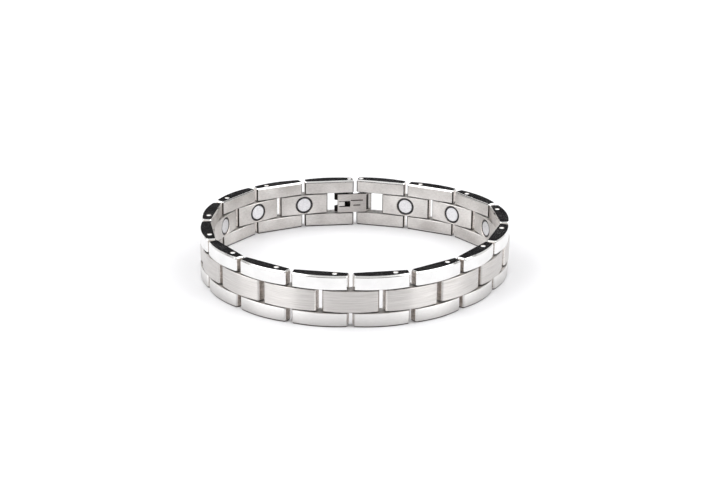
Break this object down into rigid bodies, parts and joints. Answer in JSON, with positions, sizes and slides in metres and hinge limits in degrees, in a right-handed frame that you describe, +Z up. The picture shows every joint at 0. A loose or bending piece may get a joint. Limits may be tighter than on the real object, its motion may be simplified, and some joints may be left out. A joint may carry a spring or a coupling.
{
  "type": "magnetic bracelet",
  "caption": "Closed steel link bracelet: polished side bars above and below brushed middle links with a round magnet inside each, and a fold-over clasp.",
  "frame": {"origin": "on the surface that the bracelet stands on, under the middle of its outline", "axes": "+Z up through the wrist opening, clasp at +Y, the chain runs counter-clockwise from the clasp seen from above"},
  "size_m": [0.0732, 0.0696, 0.012],
  "materials": {
    "polished_steel": "mirror polished stainless steel",
    "brushed_steel": "brushed lengthwise outside, satin inside",
    "pin_steel": "turned and polished ends",
    "magnet_nickel": "matt nickel plating",
    "dark_resin": "glossy black resin",
    "clasp_steel": "satin"
  },
  "bodies": {
    "root": {"upper_bar_01": "polished_steel", "upper_bar_02": "polished_steel", "upper_bar_03": "polished_steel", "upper_bar_04": "polished_steel", "upper_bar_05": "polished_steel", "upper_bar_06": "polished_steel", "upper_bar_07": "polished_steel", "upper_bar_08": "polished_steel", "upper_bar_09": "polished_steel", "upper_bar_10": "polished_steel", "upper_bar_11": "polished_steel", "upper_bar_12": "polished_steel", "upper_bar_13": "polished_steel", "upper_bar_14": "polished_steel", "upper_bar_15": "polished_steel", "upper_bar_16": "polished_steel", "middle_link_01": "brushed_steel", "middle_link_02": "brushed_steel", "middle_link_03": "brushed_steel", "middle_link_04": "brushed_steel", "middle_link_05": "brushed_steel", "middle_link_06": "brushed_steel", "middle_link_07": "brushed_steel", "middle_link_08": "brushed_steel", "middle_link_09": "brushed_steel", "middle_link_10": "brushed_steel", "middle_link_11": "brushed_steel", "middle_link_12": "brushed_steel", "middle_link_13": "brushed_steel", "middle_link_14": "brushed_steel", "middle_link_15": "brushed_steel", "lower_bar_01": "polished_steel", "lower_bar_02": "polished_steel", "lower_bar_03": "polished_steel", "lower_bar_04": "polished_steel", "lower_bar_05": "polished_steel", "lower_bar_06": "polished_steel", "lower_bar_07": "polished_steel", "lower_bar_08": "polished_steel", "lower_bar_09": "polished_steel", "lower_bar_10": "polished_steel", "lower_bar_11": "polished_steel", "lower_bar_12": "polished_steel", "lower_bar_13": "polished_steel", "lower_bar_14": "polished_steel", "lower_bar_15": "polished_steel", "lower_bar_16": "polished_steel", "through_pins": "pin_steel", "hidden_pins": "pin_steel", "magnets": "magnet_nickel", "magnet_rings": "dark_resin", "clasp_plate": "clasp_steel", "clasp_catch": "clasp_steel", "clasp_arm": "clasp_steel", "clasp_hinge_pin": "pin_steel"}
  },
  "joints": []
}
